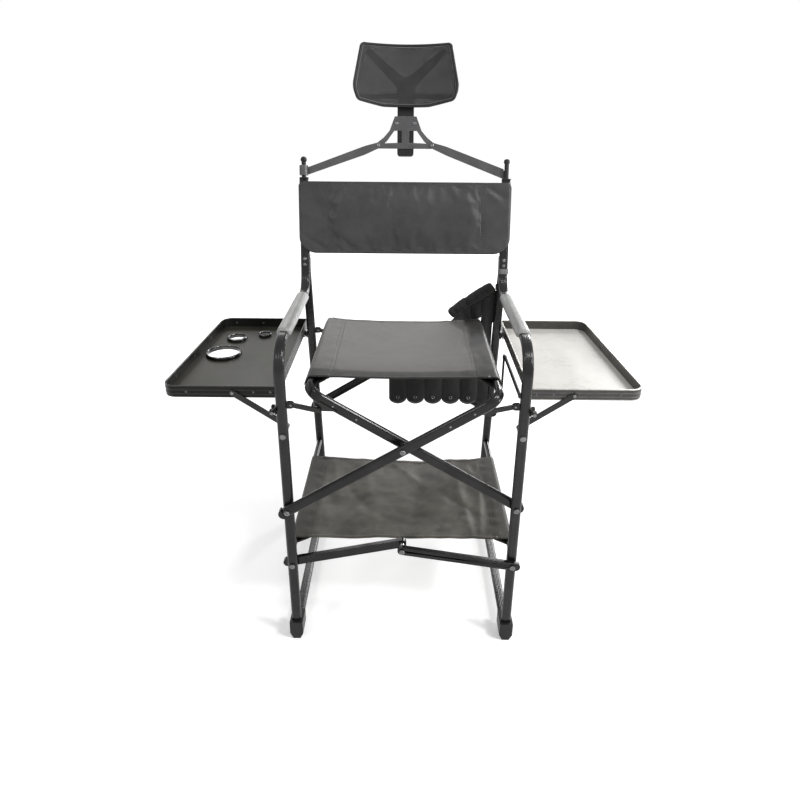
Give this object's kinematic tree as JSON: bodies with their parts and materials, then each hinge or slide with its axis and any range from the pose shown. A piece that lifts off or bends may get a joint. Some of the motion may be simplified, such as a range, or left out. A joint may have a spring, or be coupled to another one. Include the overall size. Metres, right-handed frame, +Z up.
{
  "type": "folding director chair",
  "caption": "Tall folding chair with cloth seat and back, padded arms, folding side trays, lower cloth shelf and adjustable headrest.",
  "frame": {"origin": "middle of the base, on the floor", "axes": "+X to the viewer's right when facing the chair's front, +Y to the back, +Z up"},
  "size_m": [1.1116, 0.6143, 1.4441],
  "materials": {
    "frame_tube": "satin, ribbed",
    "scissor_tube": "satin",
    "flat_bar": "satin",
    "black_plastic": "matte",
    "bright_metal": "brushed",
    "arm_foam": "satin",
    "grey_plastic": "matte",
    "seat_cloth": "soft sheen",
    "shelf_cloth": "matte",
    "pouch_cloth": "matte",
    "tray_plastic": "satin",
    "tray_light": "glossy",
    "ring_metal": "polished",
    "mesh_cloth": "open weave"
  },
  "bodies": {
    "left_frame": {"left_front_tube": "frame_tube", "left_rear_tube": "frame_tube", "left_foot_front": "black_plastic", "left_foot_rear": "black_plastic", "left_arm_pad": "arm_foam", "left_shelf_tube": "frame_tube", "left_pin": "black_plastic", "left_bolts": "bright_metal", "left_rivets": "bright_metal", "left_brackets": "black_plastic", "left_hinge_pins": "bright_metal", "back_canvas": "seat_cloth", "shelf_canvas": "shelf_cloth"},
    "right_frame": {"right_front_tube": "frame_tube", "right_rear_tube": "frame_tube", "right_foot_front": "black_plastic", "right_foot_rear": "black_plastic", "right_arm_pad": "arm_foam", "right_shelf_tube": "frame_tube", "right_pin": "black_plastic", "right_bolts": "bright_metal", "right_rivets": "bright_metal", "right_brackets": "black_plastic", "right_hinge_pins": "bright_metal", "right_post_collar": "grey_plastic", "catch_arm": "flat_bar", "pouch_body": "pouch_cloth", "pouch_roll": "pouch_cloth", "pouch_strap": "pouch_cloth"},
    "scissor_a": {"scissor_tube_a": "scissor_tube", "scissor_caps_a": "black_plastic", "scissor_bolts": "bright_metal", "gussets_right": "flat_bar"},
    "scissor_b": {"scissor_tube_b": "scissor_tube", "scissor_caps_b": "black_plastic", "gussets_left": "flat_bar"},
    "seat": {"seat_canvas": "seat_cloth"},
    "stay_fl": {"stay_front_left": "flat_bar"},
    "stay_fr": {"stay_front_right": "flat_bar"},
    "stay_rl": {"stay_rear_left": "flat_bar"},
    "brace_l": {"brace_left": "scissor_tube", "brace_bolt": "bright_metal"},
    "brace_r": {"brace_right": "scissor_tube", "brace_bolt_head": "bright_metal"},
    "tray_l": {"tray_left": "tray_plastic", "ring_large": "ring_metal", "rings_small": "ring_metal"},
    "tray_r": {"tray_right": "tray_light"},
    "strut_l": {"strut_left": "flat_bar"},
    "strut_r": {"strut_right": "flat_bar"},
    "catch": {"catch_lever": "flat_bar"},
    "yoke": {"yoke_arm_left": "flat_bar", "yoke_arm_right": "flat_bar", "yoke_bracket": "flat_bar", "yoke_rivets": "bright_metal"},
    "neck": {"neck_post": "black_plastic", "tilt_pin": "bright_metal"},
    "headrest": {"head_support": "black_plastic", "head_frame": "black_plastic", "head_mesh": "mesh_cloth"}
  },
  "joints": [
    {"name": "fold", "type": "hinge", "parent": "left_frame", "child": "scissor_a", "pos_m": [-0.2725, -0.281, 0.401], "axis": [0, -1, 0], "range_deg": [0, 27], "deforming": ["seat_canvas", "back_canvas", "shelf_canvas", "pouch_body", "pouch_roll", "pouch_strap"]},
    {"name": "crossing", "type": "hinge", "parent": "scissor_a", "child": "scissor_b", "pos_m": [0, -0.281, 0.56946], "axis": [0, -1, 0], "range_deg": [-54, 0]},
    {"name": "right_foot_pivot", "type": "hinge", "parent": "scissor_b", "child": "right_frame", "pos_m": [0.2725, -0.281, 0.401], "axis": [0, -1, 0], "range_deg": [0, 27]},
    {"name": "seat_sleeve", "type": "hinge", "parent": "scissor_b", "child": "seat", "pos_m": [-0.21311, 0, 0.70768], "axis": [0, -1, 0], "range_deg": [0, 27]},
    {"name": "stay_front_left_turn", "type": "hinge", "parent": "left_frame", "child": "stay_fl", "pos_m": [-0.251, -0.281, 0.676], "axis": [0, -1, 0], "range_deg": [0, 97.2]},
    {"name": "stay_front_right_turn", "type": "hinge", "parent": "right_frame", "child": "stay_fr", "pos_m": [0.251, -0.281, 0.676], "axis": [0, -1, 0], "range_deg": [-97.2, 0]},
    {"name": "stay_rear_left_turn", "type": "hinge", "parent": "left_frame", "child": "stay_rl", "pos_m": [-0.251, 0.2045, 0.676], "axis": [0, -1, 0], "range_deg": [0, 97.2]},
    {"name": "brace_left_turn", "type": "hinge", "parent": "left_frame", "child": "brace_l", "pos_m": [-0.2725, -0.267, 0.23], "axis": [0, -1, 0], "range_deg": [0, 43.01]},
    {"name": "brace_right_turn", "type": "hinge", "parent": "right_frame", "child": "brace_r", "pos_m": [0.2725, -0.295, 0.243], "axis": [0, -1, 0], "range_deg": [-41.85, 0]},
    {"name": "tray_left_fold", "type": "hinge", "parent": "left_frame", "child": "tray_l", "pos_m": [-0.292, -0.281, 0.662], "axis": [0, -1, 0], "range_deg": [0, 90]},
    {"name": "tray_right_fold", "type": "hinge", "parent": "right_frame", "child": "tray_r", "pos_m": [0.292, -0.281, 0.662], "axis": [0, 1, 0], "range_deg": [0, 90]},
    {"name": "strut_left_turn", "type": "hinge", "parent": "tray_l", "child": "strut_l", "pos_m": [-0.393, -0.2355, 0.682], "axis": [0, -1, 0], "range_deg": [-145.08, 0]},
    {"name": "strut_right_turn", "type": "hinge", "parent": "tray_r", "child": "strut_r", "pos_m": [0.393, -0.2355, 0.682], "axis": [0, 1, 0], "range_deg": [-145.08, 0]},
    {"name": "catch_swing", "type": "hinge", "parent": "right_frame", "child": "catch", "pos_m": [0.255, -0.06, 0.703], "axis": [1, 0, 0], "range_deg": [-40, 40]},
    {"name": "yoke_swing", "type": "hinge", "parent": "left_frame", "child": "yoke", "pos_m": [-0.2725, 0.21612, 1.12802], "axis": [0, 0.2215, 0.9751], "range_deg": [0, 90]},
    {"name": "headrest_height", "type": "slide", "parent": "yoke", "child": "neck", "axis": [0, 0.2215, 0.9751], "range_m": [-0.03, 0.02]},
    {"name": "headrest_tilt", "type": "hinge", "parent": "neck", "child": "headrest", "pos_m": [0, 0.28338, 1.32502], "axis": [1, 0, 0], "range_deg": [-15, 10]}
  ],
  "couplings": [
    {"joint": "crossing", "follows": "fold", "ratio": -2},
    {"joint": "right_foot_pivot", "follows": "fold", "ratio": 1},
    {"joint": "seat_sleeve", "follows": "fold", "ratio": 1},
    {"joint": "stay_front_left_turn", "follows": "fold", "ratio": 3.6},
    {"joint": "stay_front_right_turn", "follows": "fold", "ratio": -3.6},
    {"joint": "stay_rear_left_turn", "follows": "fold", "ratio": 3.6},
    {"joint": "brace_left_turn", "follows": "fold", "ratio": 1.593},
    {"joint": "brace_right_turn", "follows": "fold", "ratio": -1.55},
    {"joint": "strut_left_turn", "follows": "tray_left_fold", "ratio": -1.612},
    {"joint": "strut_right_turn", "follows": "tray_right_fold", "ratio": -1.612}
  ]
}
